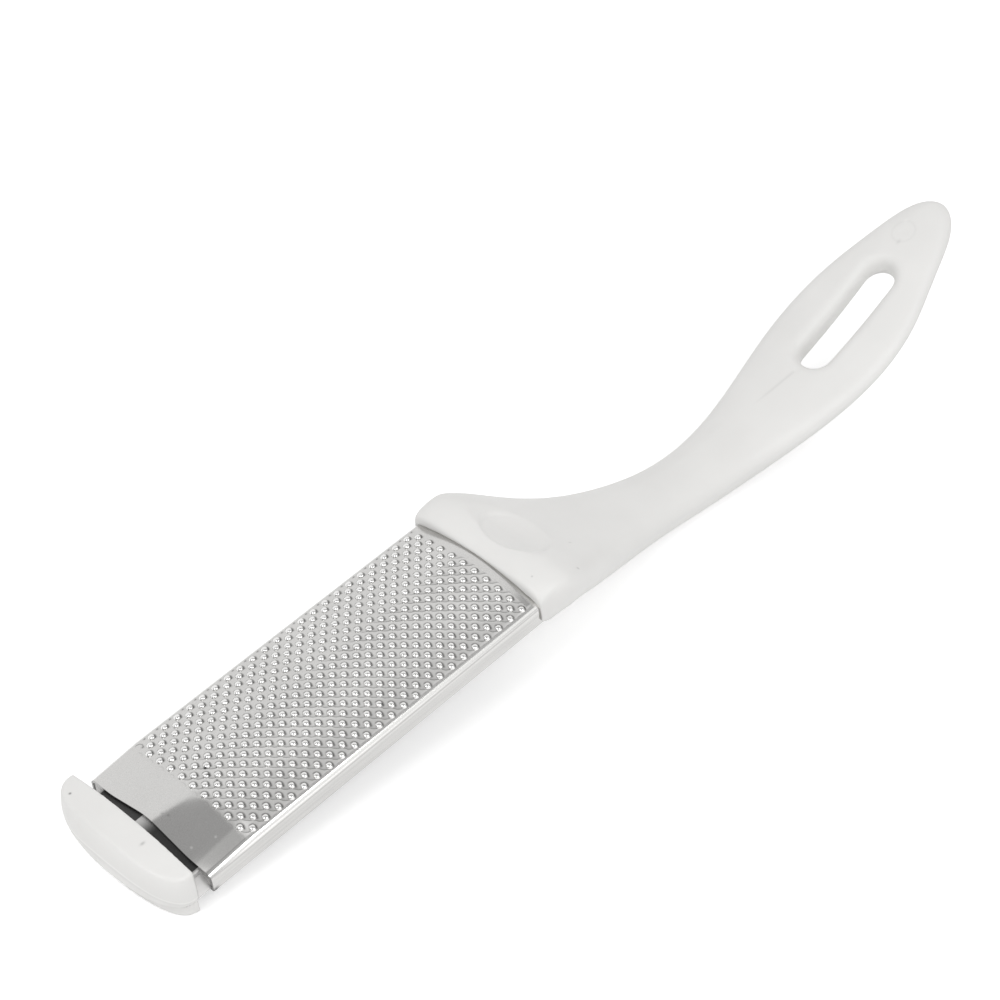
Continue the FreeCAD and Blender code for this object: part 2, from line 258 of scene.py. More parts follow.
plastic = {
    "colour": (0.768, 0.762, 0.748), "shade": (0.740, 0.734, 0.720), "roughness": 0.37, "roughSpread": 0.10,
    "patch": 55.0, "grain": 2600.0, "bump": 0.35, "bumpDepth": 0.00002, "specular": 0.4,
}
marks = {
    "faceLow": -16.0,  # head z below which nothing is marked
    "spots": [  # place, half sizes, depth of tone: specks, smudges and two dots of the moulding mark
        ((-107.47, 15.41), (0.30, 0.30), 0.75), ((-106.08, -7.28), (0.60, 0.35), 0.32),
        ((-103.38, -20.20), (0.30, 0.30), 0.45), ((2.93, -15.37), (0.22, 0.22), 0.25),
        ((14.47, -18.46), (0.30, 0.25), 0.30), ((21.0, -9.5), (0.45, 0.25), 0.16),
        ((154.87, 1.15), (0.70, 0.45), 0.10), ((160.59, 3.50), (0.55, 0.55), -0.06),
    ],
    "ring": {"centre": (157.8, 1.9), "radius": 3.0, "width": 0.35, "dark": 0.035},
    "capEdgeLightAndShade": {"height": -0.8, "bow": 0.0125, "back": -104.0, "lines": [(0, 0.26, -0.09), (-0.75, 0.45, 0.05)]},
    "groove": {
        "start": 97.0, "full": 106.0, "end": 112.0, "slope": 0.12, "offset": -13.72,
        "width": 0.40, "dark": 0.09,
    },
}


def makeMarks():
    # small marks of moulding and of use, plus a painted highlight and painted shade along the cap's lower
    # band, as one tone near 1
    group, _, out, (x, y, z) = makeWearAndShadeGroup("mouldMarksAndEdgeLight", "Tone")
    above = stepNode(group, z, marks["faceLow"], marks["faceLow"] + 1.0)
    tone = None
    for centre, size, dark in marks["spots"]:
        tone = darken(group, tone, product(group, blobNode(group, x, y, centre, size), above), dark)
    ring = marks["ring"]
    u = mathNode(group, "SUBTRACT", x, ring["centre"][0])
    v = mathNode(group, "SUBTRACT", y, ring["centre"][1])
    band = bellNode(group, lengthNode(group, u, v), ring["radius"], ring["width"])
    tone = darken(group, tone, product(group, band, above), ring["dark"])
    # painted highlight: a light line along the cap's lower band, with painted shade just below it
    capEdgeLightAndShade = marks["capEdgeLightAndShade"]
    hang = product(group, y, y, capEdgeLightAndShade["bow"])
    level = mathNode(group, "ADD", mathNode(group, "ADD", z, -capEdgeLightAndShade["height"]), hang)
    ahead = stepNode(group, x, capEdgeLightAndShade["back"] + 1.0, capEdgeLightAndShade["back"])
    for offset, size, dark in capEdgeLightAndShade["lines"]:
        tone = darken(group, tone, product(group, bellNode(group, level, offset, size), ahead), dark)
    groove = marks["groove"]
    middle = mathNode(group, "MULTIPLY_ADD", x, groove["slope"], mathNode(group, "ADD", y, groove["offset"]))
    line = product(group, bellNode(group, middle, 0, groove["width"]),
                   stepNode(group, x, groove["start"], groove["full"]),
                   stepNode(group, x, groove["end"] + 1, groove["end"]))
    group.links.new(darken(group, tone, line, groove["dark"]), out.inputs["Tone"])
    return group


def makePlastic():
    mat, tree, bsdf = newMaterial("whitePlastic")
    effect, place = placeMottle(tree, plastic["patch"], plastic["grain"])
    tone = mixColour(tree, effect.outputs["Patches"], (*plastic["colour"], 1), (*plastic["shade"], 1))
    wearAndShade = tree.nodes.new("ShaderNodeGroup")
    wearAndShade.node_tree = makeMarks()
    tree.links.new(place, wearAndShade.inputs["Position"])
    tree.links.new(mixColour(tree, 1.0, tone, wearAndShade.outputs["Tone"], "MULTIPLY"), bsdf.inputs["Base Color"])
    addGrain(tree, bsdf, effect, plastic)
    bsdf.inputs["Specular IOR Level"].default_value = plastic["specular"]
    return mat


steel = {"patch": 45.0, "grain": 3800.0, "bump": 0.04, "bumpDepth": 0.00001}
field = {
    "firstX": -89.0, "frontFade": 2.0, "backFrom": 1.8, "backFull": 1.2, "sideFrom": 19.0, "sideFull": 18.4,
    "commaAt": (0.92, -0.18), "commaSize": (0.40, 0.30), "commaDark": 0.40,
    "lineAt": -0.37, "lineFade": 0.13, "lineDark": 0.55, "lineCore": 0.035, "coreDark": 0.40,
    "scallop": 0.045, "waver": 0.22, "waverScale": 420.0, "lineSide": (5.0, 1.0),
    "dullSide": (1.0, -9.0), "dull": 0.60,
    "rimAt": 0.98, "rimWidth": 0.14, "rimDark": 0.50, "behind": (0.45, 0.9), "behindFade": 0.35,
    "domeFrom": 0.36, "domeFull": 0.74, "domeDark": 0.82,
    "spotSize": (0.30, 0.30), "spots": [
        ((-82.56, 0.35), 0.85), ((-83.42, -1.63), 0.80), ((-82.9, -3.91), 0.75), ((-44.21, -14.79), 0.7),
        ((-92.35, -13.72), -0.4), ((-97.5, -11.7), -0.4), ((-96.0, -2.9), 0.25), ((-96.6, -1.6), 0.2),
    ],
}


def makeField():
    # painted shade and painted reflections round the nubs: a dark comma and a dark rim at each, darker far
    # sides of the domes, and dark lines between the rows; plus listed spots
    group, inp, out, (x, y, _) = makeWearAndShadeGroup("nubShadeAndSpecks", "Sheet Tone", "Dome Tone", "Polish")
    pitch = nubs["pitch"]
    unit = pitch / math.sqrt(2)
    forth = mathNode(group, "SUBTRACT", x, nubs["lastRow"] + nubs["shiftX"])
    side = mathNode(group, "ADD", y, pitch / 4 - nubs["shiftY"])
    rise = product(group, mathNode(group, "ADD", forth, side), 1 / pitch)
    run = product(group, mathNode(group, "SUBTRACT", forth, side), 1 / pitch)

    def cellOf(value, middle):
        # millimetres from the nearest nub along one diagonal, less the middle
        turned = mathNode(group, "FRACT", mathNode(group, "SUBTRACT", value, middle / unit))
        return product(group, mathNode(group, "SUBTRACT", turned, 0.5), unit)

    inField = product(
        group, stepNode(group, x, field["firstX"], field["firstX"] + field["frontFade"]),
        stepNode(group, x, nubs["lastRow"] + field["backFrom"], nubs["lastRow"] + field["backFull"]),
        stepNode(group, mathNode(group, "ABSOLUTE", y), field["sideFrom"], field["sideFull"]))
    # painted shade: a dark comma beside each nub
    comma = blobNode(group, cellOf(run, field["commaAt"][0]), cellOf(rise, field["commaAt"][1]),
                     (0, 0), field["commaSize"])
    u, v = cellOf(run, 0), cellOf(rise, 0)
    away = lengthNode(group, u, v)
    toRight, toBack = field["behind"]
    behind = mathNode(group, "ADD", product(group, u, toRight), product(group, v, toBack))
    behind = stepNode(group, behind, -field["behindFade"], field["behindFade"])
    # painted shade: a thin dark rim on the far side of each nub
    rim = product(group, bellNode(group, away, field["rimAt"], field["rimWidth"]), behind)
    # painted reflections: dark wavy lines between the rows, on the right half only
    uneven = addNode(group, "ShaderNodeTexNoise", Scale=field["waverScale"], Detail=2.0)
    group.links.new(inp.outputs["Position"], uneven.inputs["Vector"])
    start = -field["waver"] / 2 - field["lineAt"]
    wobble = mathNode(group, "MULTIPLY_ADD", uneven.outputs["Fac"], field["waver"], start)
    curl = mathNode(group, "COSINE", product(group, run, 2 * math.pi))
    wobble = mathNode(group, "MULTIPLY_ADD", curl, field["scallop"], wobble)
    past = mathNode(group, "FRACT", mathNode(group, "ADD", mathNode(group, "ADD", rise, 0.5), wobble))
    lined = product(group, inField, stepNode(group, y, *field["lineSide"]))
    tone = None
    for mask, where, amount in (
            (fadeNode(group, past, field["lineFade"]), lined, "lineDark"),
            (fadeNode(group, past, field["lineCore"]), lined, "coreDark"),
            (comma, inField, "commaDark"), (rim, inField, "rimDark")):
        tone = darken(group, tone, product(group, mask, where), field[amount])
    # painted shade on the far side of each dome
    outer = stepNode(group, away, field["domeFrom"], field["domeFull"])
    dome = darken(group, None, product(group, outer, behind), field["domeDark"])
    for centre, dark in field["spots"]:
        spot = blobNode(group, x, y, centre, field["spotSize"])
        tone = darken(group, tone, spot, dark)
        dome = darken(group, dome, spot, dark)
    worn = product(group, inField, stepNode(group, y, *field["dullSide"]))
    group.links.new(tone, out.inputs["Sheet Tone"])
    group.links.new(dome, out.inputs["Dome Tone"])
    group.links.new(darken(group, None, worn, field["dull"]), out.inputs["Polish"])
    return group


plate = {
    "soft": 0.2, "rimX": -99.42, "rimFade": 0.05, "rimDark": 0.5, "grainDark": 0.10,
    "wall": -4.6, "wallFade": 0.6, "wallDark": 0.08, "streak": 0.08, "streakX": 0.05, "streakZ": 1.6,
    "streakRange": (0.35, 0.7),
    "stripFrom": -14.6, "stripTo": -15.8, "stripSide": -18.4, "stripEnd": -86.0,
    "stripFade": 2, "stripLight": 0.30,
    "bandSide": -18.7, "bandLow": -3.7, "bandRise": 0.008, "bandLight": 0.30,
    "lineDrop": 0.5, "lineWidth": 0.22, "lineDark": 0.24,
    "lipShadowAt": (-98.9, -8.2), "lipShadowSize": (0.8, 0.7), "lipShadowDark": 0.75,
    "leftEdge": 19.2, "leftFade": 0.5, "leftDark": 0.45,
}


def makePlate():
    # a darker cut edge and streaks on the folded wall, plus painted light and shade: a painted highlight band
    # along the right bend with a painted dark line under it, a painted reflection strip beside it, a painted
    # shadow in the lip's front corner, and a darker right wall and left bend as painted shade
    group, inp, out, (x, y, z) = makeWearAndShadeGroup("sheetWearAndShade", "Tone", grain=True)
    soft = plate["soft"]
    stretched = group.nodes.new("ShaderNodeCombineXYZ")
    group.links.new(product(group, x, plate["streakX"]), stretched.inputs[0])
    group.links.new(product(group, z, plate["streakZ"]), stretched.inputs[2])
    streak = addNode(group, "ShaderNodeTexNoise", Scale=1.0, Detail=3.0)
    group.links.new(stretched.outputs[0], streak.inputs["Vector"])
    below = stepNode(group, z, plate["wall"] + plate["wallFade"], plate["wall"] - soft)
    streaks = product(group, below, stepNode(group, streak.outputs["Fac"], *plate["streakRange"]))
    cutEdge = stepNode(group, x, plate["rimX"], plate["rimX"] - plate["rimFade"])
    # painted reflection: a lighter strip beside the right bend, near the front
    strip = product(
        group, stepNode(group, y, plate["stripFrom"], plate["stripTo"]),
        stepNode(group, x, plate["stripEnd"] + plate["stripFade"], plate["stripEnd"]),
        stepNode(group, y, plate["stripSide"] - soft, plate["stripSide"] + soft))
    right = stepNode(group, y, plate["bandSide"] + soft, plate["bandSide"] - soft)
    # painted shadow inside the in-turned lip at the front of the right wall
    lipShadow = product(group, right, blobNode(group, x, z, plate["lipShadowAt"], plate["lipShadowSize"]))
    # painted highlight along the right bend, with a painted dark line under it
    rise = mathNode(group, "MULTIPLY_ADD", x, plate["bandRise"], -plate["bandRise"] * sheet["front"])
    level = mathNode(group, "SUBTRACT", z, rise)
    band = product(group, right, stepNode(group, level, plate["bandLow"] - soft, plate["bandLow"] + soft))
    lineLevel = plate["bandLow"] - plate["lineDrop"]
    line = product(group, right, bellNode(group, level, lineLevel, plate["lineWidth"]))
    # painted shade: the right wall a little darker, and the outer part of the left bend darker
    wall = product(group, right, below)
    left = stepNode(group, y, plate["leftEdge"], plate["leftEdge"] + plate["leftFade"])
    tone = None
    for mask, amount in (
            (streaks, plate["streak"]), (cutEdge, plate["rimDark"]),
            (inp.outputs["Grain"], plate["grainDark"]), (strip, -plate["stripLight"]),
            (lipShadow, plate["lipShadowDark"]), (band, -plate["bandLight"]),
            (line, plate["lineDark"]), (wall, plate["wallDark"]), (left, plate["leftDark"])):
        tone = darken(group, tone, mask, amount)
    group.links.new(tone, out.inputs["Tone"])
    return group


carry = {
    "crease": 1.8, "fade": -3.4, "corner": 15.6, "soft": 0.1, "dark": 0.045, "light": 0.60,
    "wallHigh": -2.5, "wallLow": -7.5, "wallFar": 0.42, "wallNear": 0.64,
}


def makeCarry():
    # the bared end of the carrier, all painted shade and painted light: dark on top, light beside the crease,
    # brighter down its side
    group, _, out, (_, y, z) = makeWearAndShadeGroup("carrierShading", "Tone")
    soft = carry["soft"]
    lit = product(group, stepNode(group, y, carry["crease"] + soft, carry["crease"] - soft),
                  stepNode(group, y, carry["fade"], carry["crease"]))
    top = mathNode(group, "MULTIPLY_ADD", lit, carry["light"] - carry["dark"], carry["dark"])
    wall = stepNode(group, mathNode(group, "ABSOLUTE", y), carry["corner"] - soft, carry["corner"] + soft)
    down = stepNode(group, z, carry["wallHigh"], carry["wallLow"])
    side = mathNode(group, "MULTIPLY_ADD", down, carry["wallNear"] - carry["wallFar"], carry["wallFar"])
    mixed = group.nodes.new("ShaderNodeMix")
    group.links.new(wall, mixed.inputs[0])
    group.links.new(top, mixed.inputs[2])
    group.links.new(side, mixed.inputs[3])
    group.links.new(mixed.outputs[0], out.inputs["Tone"])
    return group


def makeSteel(name, wearAndShade, plan):
    mat, tree, bsdf = newMaterial(name)
    effect, place = placeMottle(tree, steel["patch"], steel["grain"])
    tone = mixColour(tree, effect.outputs["Patches"], (*plan["colour"], 1), (*plan["shade"], 1))
    bsdf.inputs["Metallic"].default_value = plan["metallic"]
    for group, label in wearAndShade:
        node = tree.nodes.new("ShaderNodeGroup")
        node.node_tree = group
        tree.links.new(place, node.inputs["Position"])
        if "Grain" in node.inputs:
            tree.links.new(effect.outputs["Grain"], node.inputs["Grain"])
        tone = mixColour(tree, 1.0, tone, node.outputs[label], "MULTIPLY")
        if label == "Sheet Tone":
            tree.links.new(node.outputs["Polish"], bsdf.inputs["Metallic"])
    tree.links.new(tone, bsdf.inputs["Base Color"])
    addGrain(tree, bsdf, effect, {**steel, **plan})
    return mat


nubShading = makeField()
steels = {
    "raspSteel": {
        "colour": (0.68, 0.674, 0.662), "shade": (0.64, 0.634, 0.622), "metallic": 1.0,
        "roughness": 0.14, "roughSpread": 0.03,
    },
    # the nubs get a lighter copy of the sheet's steel, as painted light
    "brightNubSteel": {
        "colour": (0.88, 0.875, 0.865), "shade": (0.82, 0.815, 0.805), "metallic": 1.0,
        "roughness": 0.15, "roughSpread": 0.04,
    },
    "carrierSteel": {
        "colour": (0.98, 0.97, 0.96), "shade": (0.86, 0.85, 0.84), "metallic": 0.6,
        "roughness": 0.38, "roughSpread": 0.10,
    },
}
plasticMat = makePlastic()
sheetWearAndShade = [(nubShading, "Sheet Tone"), (makePlate(), "Tone")]
sheetMat = makeSteel("raspSteel", sheetWearAndShade, steels["raspSteel"])
nubMat = makeSteel("brightNubSteel", [(nubShading, "Dome Tone")], steels["brightNubSteel"])
carrierMat = makeSteel("carrierSteel", [(makeCarry(), "Tone")], steels["carrierSteel"])
print("materials made")

# Rasp sheet: crown, folded walls and lips, one shell
ripple = {"height": 0.012, "second": 0.45, "endFade": 1.6, "sideEnd": 18.6, "sideFade": 1.2}


def crownHeight(y):
    steep = math.radians(sheet["flankAngle"])
    gentle = math.radians(sheet["shoulderAngle"])
    radius = sheet["ridgeRadius"]
    flankY = radius * math.sin(steep)
    flankZ = radius * (math.cos(steep) - 1)
    hollowZ = flankZ - (sheet["flankEnd"] - flankY) * math.tan(steep)
    centreY = sheet["flankEnd"] + radius * math.sin(steep)
    centreZ = hollowZ + radius * math.cos(steep)
    levelY = centreY - radius * math.sin(gentle)
    away = abs(y)
    if away <= flankY:
        return math.sqrt(radius ** 2 - away ** 2) - radius
    if away <= sheet["flankEnd"]:
        return flankZ - (away - flankY) * math.tan(steep)
    if away <= levelY:
        return centreZ - math.sqrt(radius ** 2 - (away - centreY) ** 2)
    return centreZ - radius * math.cos(gentle) - (away - levelY) * math.tan(gentle)


def sheetHeight(x, y):
    # the front edge is a shallow roof that rounds out to a plain arch
    share = max(0.0, min(1.0, (x - sheet["front"]) / sheet["roofLength"]))
    radius = sheet["archRadius"]
    arch = sheet["archLift"] - radius + math.sqrt(radius ** 2 - y ** 2)
    return share * arch + (1 - share) * crownHeight(y)


def fieldShare(x, y):
    # 1 inside the field of nubs, fading to 0 round it
    first = nubs["lastRow"] - (nubs["rows"] - 1) * nubs["pitch"] / 2
    fade = ripple["endFade"]
    ends = min((x - first + fade) / fade, (nubs["lastRow"] + fade - x) / fade)
    return max(0.0, min(1.0, ends, (ripple["sideEnd"] - abs(y)) / ripple["sideFade"]))


def waveHeight(x, y):
    # the rows of nubs stand on low ridges, which run along one diagonal of the field
    k = 2 * math.pi / (nubs["pitch"] / 2)
    across = (x - nubs["lastRow"]) / 2 + (y + nubs["pitch"] / 4) / 2
    along = (x - nubs["lastRow"]) / 2 - (y + nubs["pitch"] / 4) / 2
    swell = math.cos(k * across) + ripple["second"] * math.cos(k * along)
    return ripple["height"] * fieldShare(x, y) * swell


def bendArc(edge, radius, count):
    # the points of a folded bend, from the wall up to the crown
    points = []
    for k in range(1, count):
        a = math.radians(90.0 * k / count)
        points.append((flatHalf + radius * math.cos(a), edge - sheet["bendRadius"] + radius * math.sin(a)))
    return points


def sheetOutline(x):
    # outer face from lip to lip, then the inner face back
    half, thick, edgeRound = sheet["halfWidth"], sheet["thickness"], sheet["edgeRound"]
    edge = sheetHeight(x, flatHalf)
    wallTop = edge - sheet["bendRadius"]
    low = -sheet["sideHeight"]
    lip = half - sheet["lipWidth"]
    steps = int(flatHalf / sheet["acrossStep"])
    outer = [(lip, low), (half - edgeRound, low), (half, low + edgeRound), (half, wallTop)]
    outer += bendArc(edge, sheet["bendRadius"], sheet["outerBend"])
    outer += [(flatHalf * (1 - k / steps), sheetHeight(x, flatHalf * (1 - k / steps))) for k in range(steps)]
    outer += [(0.0, sheetHeight(x, 0.0))]
    crownFirst = len(outer) - steps - 1
    inner = [(lip, low + thick), (half - thick, low + thick), (half - thick, wallTop)]
    inner += bendArc(edge, sheet["bendRadius"] - thick, sheet["innerBend"])
    for k in range(sheet["innerSteps"]):
        y = flatHalf * (1 - k / sheet["innerSteps"])
        inner.append((y, sheetHeight(x, y) - thick))
    inner += [(0.0, sheetHeight(x, 0.0) - thick)]
    left = [(-y, z) for y, z in reversed(outer[:-1])]
    innerLeft = [(-y, z) for y, z in inner[:-1]]
    whole = outer + left
    for k in range(crownFirst, len(whole) - crownFirst):
        whole[k] = (whole[k][0], whole[k][1] + waveHeight(x, whole[k][0]))
    return whole + innerLeft + list(reversed(inner))


def makeSheet():
    end = sheet["socketDepth"]
    count = int(round((end - sheet["front"]) / sheet["alongStep"]))
    xs = [sheet["front"] + (end - sheet["front"]) * k / count for k in range(count + 1)]
    verts, faces = [], []
    for x in xs:
        verts += [(x, y, z) for y, z in sheetOutline(x)]
    size = len(verts) // len(xs)
    for i in range(len(xs) - 1):
        for j in range(size):
            a, b = i * size + j, i * size + (j + 1) % size
            faces.append((a, b, b + size, a + size))
    faces.append(tuple(range(size)))
    faces.append(tuple(range(size * (len(xs) - 1), size * len(xs))))
    obj = newMesh("raspSheet", verts, faces)
    bm = bmesh.new()
    bm.from_mesh(obj.data)
    bmesh.ops.triangulate(bm, faces=[f for f in bm.faces if len(f.verts) > 4])
    bmesh.ops.recalc_face_normals(bm, faces=bm.faces)
    bm.to_mesh(obj.data)
    bm.free()
    inTableFrame(obj)
    setSmooth(obj, sharpAngle=40)
    obj.data.materials.append(sheetMat)
    return obj


sheetObj = makeSheet()
print("rasp sheet:", len(sheetObj.data.polygons), "faces")


# Nubs: one dome placed by geometry nodes over a grid of points
def makeDome():
    verts, faces = [(0, 0, nubs["height"])], []
    around, rings = nubs["around"], nubs["rings"]
    for r in range(1, rings + 1):
        share = r / rings
        radius = nubs["radius"] * math.sin(share * math.pi / 2) ** nubs["sideCurve"]
        height = nubs["height"] * math.cos(share * math.pi / 2) ** nubs["topCurve"]
        for k in range(around):
            a = 2 * math.pi * k / around
            verts.append((radius * math.cos(a), radius * math.sin(a), height))
    foot = len(verts)
    for k in range(around):
        a = 2 * math.pi * k / around
        verts.append((nubs["radius"] * math.cos(a), nubs["radius"] * math.sin(a), -nubs["sink"]))
    verts.append((0, 0, -nubs["sink"]))
    for k in range(around):
        n = (k + 1) % around
        faces.append((0, 1 + k, 1 + n))
        for r in range(rings - 1):
            a, b = 1 + r * around + k, 1 + r * around + n
            faces.append((a, a + around, b + around, b))
        a, b = 1 + (rings - 1) * around + k, 1 + (rings - 1) * around + n
        faces.append((a, foot + k, foot + n, b))
        faces.append((foot + k, len(verts) - 1, foot + n))
    dome = newMesh("nubDome", [tuple(0.001 * c for c in v) for v in verts], faces)
    outward(dome)
    setSmooth(dome, sharpAngle=60)
    return dome


def makeNubTree(dome):
    tree = bpy.data.node_groups.new("nubField", "GeometryNodeTree")
    sockets = tree.interface
    sockets.new_socket("Geometry", in_out="INPUT", socket_type="NodeSocketGeometry")
    sizeIn = sockets.new_socket("Size Spread", in_out="INPUT", socket_type="NodeSocketFloat")
    seedIn = sockets.new_socket("Seed", in_out="INPUT", socket_type="NodeSocketInt")
    sockets.new_socket("Geometry", in_out="OUTPUT", socket_type="NodeSocketGeometry")
    nodes, links = tree.nodes, tree.links
    start, end = nodes.new("NodeGroupInput"), nodes.new("NodeGroupOutput")
    info = nodes.new("GeometryNodeObjectInfo")
    info.inputs["Object"].default_value = dome
    lean = nodes.new("GeometryNodeInputNamedAttribute")
    lean.data_type = "FLOAT_VECTOR"
    lean.inputs["Name"].default_value = "lean"
    align = nodes.new("FunctionNodeAlignRotationToVector")
    align.axis = "Z"
    spread = nodes.new("FunctionNodeRandomValue")
    spread.data_type = "FLOAT"
    least = nodes.new("ShaderNodeMath")
    least.operation = "SUBTRACT"
    least.inputs[0].default_value = 1.0
    place = nodes.new("GeometryNodeInstanceOnPoints")
    real = nodes.new("GeometryNodeRealizeInstances")
    paint = nodes.new("GeometryNodeSetMaterial")
    paint.inputs["Material"].default_value = nubMat
    links.new(start.outputs["Geometry"], place.inputs["Points"])
    links.new(info.outputs["Geometry"], place.inputs["Instance"])
    links.new(lean.outputs[0], align.inputs["Vector"])
    links.new(align.outputs[0], place.inputs["Rotation"])
    links.new(start.outputs["Size Spread"], least.inputs[1])
    links.new(least.outputs[0], spread.inputs[2])
    spread.inputs[3].default_value = 1.0
    links.new(start.outputs["Seed"], spread.inputs["Seed"])
    links.new(spread.outputs[1], place.inputs["Scale"])
    links.new(place.outputs[0], real.inputs[0])
    links.new(real.outputs[0], paint.inputs["Geometry"])
    links.new(paint.outputs[0], end.inputs["Geometry"])
    return tree, sizeIn.identifier, seedIn.identifier


def makeNubs():
    pitch = nubs["pitch"]
    verts, leans = [], []
    step = nubs["probe"]
    for row in range(nubs["rows"]):
        x = nubs["lastRow"] - row * pitch / 2
        shift = pitch / 4 * (1 if row % 2 else -1)
        for n in range(nubs["side"]):
            y = (n - (nubs["side"] - 1) / 2) * pitch + shift
            if row == nubs["rows"] - 1 and n == nubs["side"] - 1:
                continue  # the first row has one nub fewer at its left end
            px, py = x + nubs["shiftX"], y + nubs["shiftY"]
            slopeY = (sheetHeight(px, py + step) - sheetHeight(px, py - step)) / (2 * step)
            slopeX = (sheetHeight(px + step, py) - sheetHeight(px - step, py)) / (2 * step)
            verts.append((px, py, sheetHeight(px, py) + nubs["lift"]))
            leans.append(lieTurn.to_3x3() @ Vector((-slopeX, -slopeY, 1)).normalized())
    studs = newMesh("raspNubs", verts, [])
    inTableFrame(studs)
    layer = studs.data.attributes.new("lean", "FLOAT_VECTOR", "POINT")
    layer.data.foreach_set("vector", [c for v in leans for c in v])
    dome = makeDome()
    tree, sizeId, seedId = makeNubTree(dome)
    mod = studs.modifiers.new("nubField", "NODES")
    mod.node_group = tree
    mod[sizeId] = nubs["spread"]
    mod[seedId] = nubs["seed"]
    bpy.context.view_layer.update()
    ready = studs.evaluated_get(bpy.context.evaluated_depsgraph_get())
    mesh = bpy.data.meshes.new_from_object(ready)
    studs.modifiers.clear()
    studs.data = mesh
    bpy.data.objects.remove(dome)
    setSmooth(studs, sharpAngle=60)
    return studs


nubObj = makeNubs()
print("nubs:", len(nubObj.data.polygons), "faces")

# The carrier's solid stays and is only painted
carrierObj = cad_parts["carrier"]
carrierObj.data.materials.clear()
carrierObj.data.materials.append(carrierMat)
for poly in carrierObj.data.polygons:
    poly.material_index = 0
print("carrier painted")

corner = {
    "inner": 13.0, "outer": 19.30, "low": -7.2, "front": -99.30, "back": -99.05,
    "bend": 1.0, "bendStep": 15.0, "bendCount": 6, "crownCount": 5, "under": 0.70,
}


def makeCorners():
    # the folded corners of the carrier, which close the space under the sheet's bends at the front
    wallTop = sheetHeight(corner["back"], flatHalf) - sheet["bendRadius"]
    for sign, name in ((1, "cornerLeft"), (-1, "cornerRight")):
        ring = [(corner["inner"], corner["low"]), (corner["outer"], corner["low"])]
        ring.append((corner["outer"], wallTop))
        for k in range(1, corner["bendCount"]):
            a = math.radians(corner["bendStep"] * k)
            ring.append((flatHalf + corner["bend"] * math.cos(a), wallTop + corner["bend"] * math.sin(a)))
        for k in range(corner["crownCount"] + 1):
            y = flatHalf - (flatHalf - corner["inner"]) * k / corner["crownCount"]
            ring.append((y, sheetHeight(corner["back"], y) - corner["under"]))
        count = len(ring)
        verts = [(corner[end], sign * y, z) for end in ("front", "back") for y, z in ring]
        faces = [(k, (k + 1) % count, (k + 1) % count + count, k + count) for k in range(count)]
        faces += [tuple(range(count)), tuple(range(count, 2 * count))]
        obj = newMesh(name, verts, faces)
        inTableFrame(obj)
        outward(obj)
        obj.data.materials.append(carrierMat)
        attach(obj, "root")
    print("corner pieces made")


makeCorners()

moulded = {
    "handle": {"name": "mouldedHandle", "voxel": 0.00044, "smoothing": 9},
    "end_cap": {"name": "mouldedCap", "voxel": 0.00025, "smoothing": 8},
}
plug = {
    "start": 0.7, "end": 8.8, "over": 0.45, "section": 4.0,
    "wallDrop": 1.2, "reach": 19.3, "steps": 6, "fall": 0.3,
}
collar = {
    "end": 22.0, "shoulderFrom": 12.0, "shoulderDrop": 1.0, "shoulderSpan": 10.0, "shoulderEnd": 16.0,
    "shoulderLow": -8.0, "sideFrom": 20.6, "sideSpan": 1.2, "sideIn": 0.75,
    "liftFrom": 14.0, "liftSpan": 6.0, "lift": 1.7, "liftLow": -4.5, "liftDepth": 4.0, "liftEnd": 21.0,
}
dimple = {
    "at": (11.8, -1.0), "size": (7.2, 9.8), "deep": 0.75, "lip": 0.15, "front": 3.0, "low": -6.0,
    "rearEnd": 19.2, "rearSpan": 8.0,
}


def addPlug(bm):
    # fills the socket behind its mouth, so that the slit round the sheet stays shallow
    half = sheet["halfWidth"] + plug["over"]
    low = -sheet["sideHeight"] - plug["over"]
    wallTop = sheetHeight(plug["section"], flatHalf) - plug["wallDrop"]
    outline = [(half, low), (half, wallTop)]
    for k in range(2 * plug["steps"] + 1):
        y = plug["reach"] * (1 - k / plug["steps"])
        top = sheetHeight(plug["section"], min(flatHalf, abs(y))) + plug["over"]
        outline.append((y, top - plug["fall"] * max(0.0, abs(y) - flatHalf)))
    outline += [(-half, wallTop), (-half, low)]
    rings = []
    for x in (plug["start"], plug["end"]):
        rings.append([bm.verts.new(headToMetres @ Vector((x, y, z))) for y, z in outline])
    count = len(outline)
    made = [bm.faces.new(rings[0]), bm.faces.new(list(reversed(rings[1])))]
    for k in range(count):
        n = (k + 1) % count
        made.append(bm.faces.new((rings[0][n], rings[0][k], rings[1][k], rings[1][n])))
    bmesh.ops.recalc_face_normals(bm, faces=made)


def easeIn(share):
    share = max(0.0, min(1.0, share))
    return share * share * (3 - 2 * share)


def leftOver(x, end):
    # 1 at the collar's mouth, falling to 0 at the end
    return 1 - max(0.0, x) / end


def dimpleDepth(x, y, z):
    u = (x - dimple["at"][0]) / dimple["size"][0]
    v = (y - dimple["at"][1]) / dimple["size"][1]
    inside = 1 - math.sqrt(u * u + v * v)
    if inside <= 0 or x <= dimple["front"] or z <= dimple["low"]:
        return 0.0
    rear = easeIn((dimple["rearEnd"] - x) / dimple["rearSpan"])
    return dimple["deep"] * easeIn(inside / dimple["lip"]) * rear


